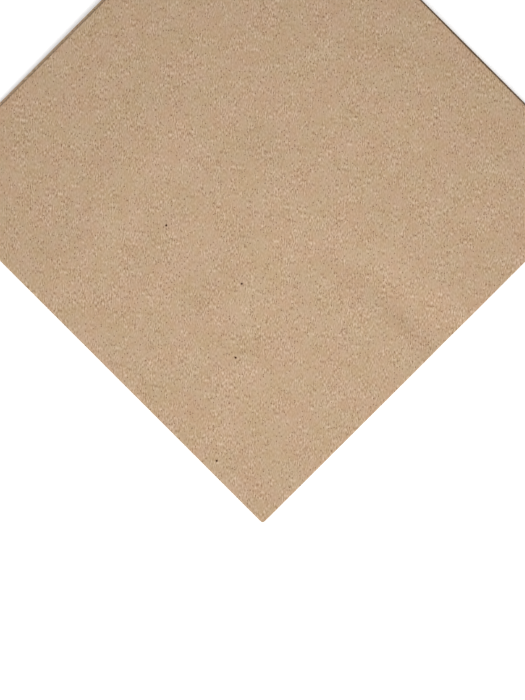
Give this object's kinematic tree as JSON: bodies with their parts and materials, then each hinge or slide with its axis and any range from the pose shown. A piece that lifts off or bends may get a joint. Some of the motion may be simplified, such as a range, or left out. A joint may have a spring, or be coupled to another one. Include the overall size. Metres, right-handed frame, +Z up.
{
  "type": "paper napkin",
  "caption": "Square paper napkin of soft unbleached tissue with a fine embossed lattice, folded twice and lying flat.",
  "frame": {"origin": "middle of the folded square, on its underside", "axes": "+Z up from the underside; +X towards the first crease; +Y from the second crease towards the open side"},
  "size_m": [0.1274, 0.1276, 0.005],
  "materials": {
    "unbleached_tissue": "matt, softly fibrous, embossed with a fine lattice"
  },
  "bodies": {
    "root": {"napkin": "unbleached_tissue"}
  },
  "joints": []
}
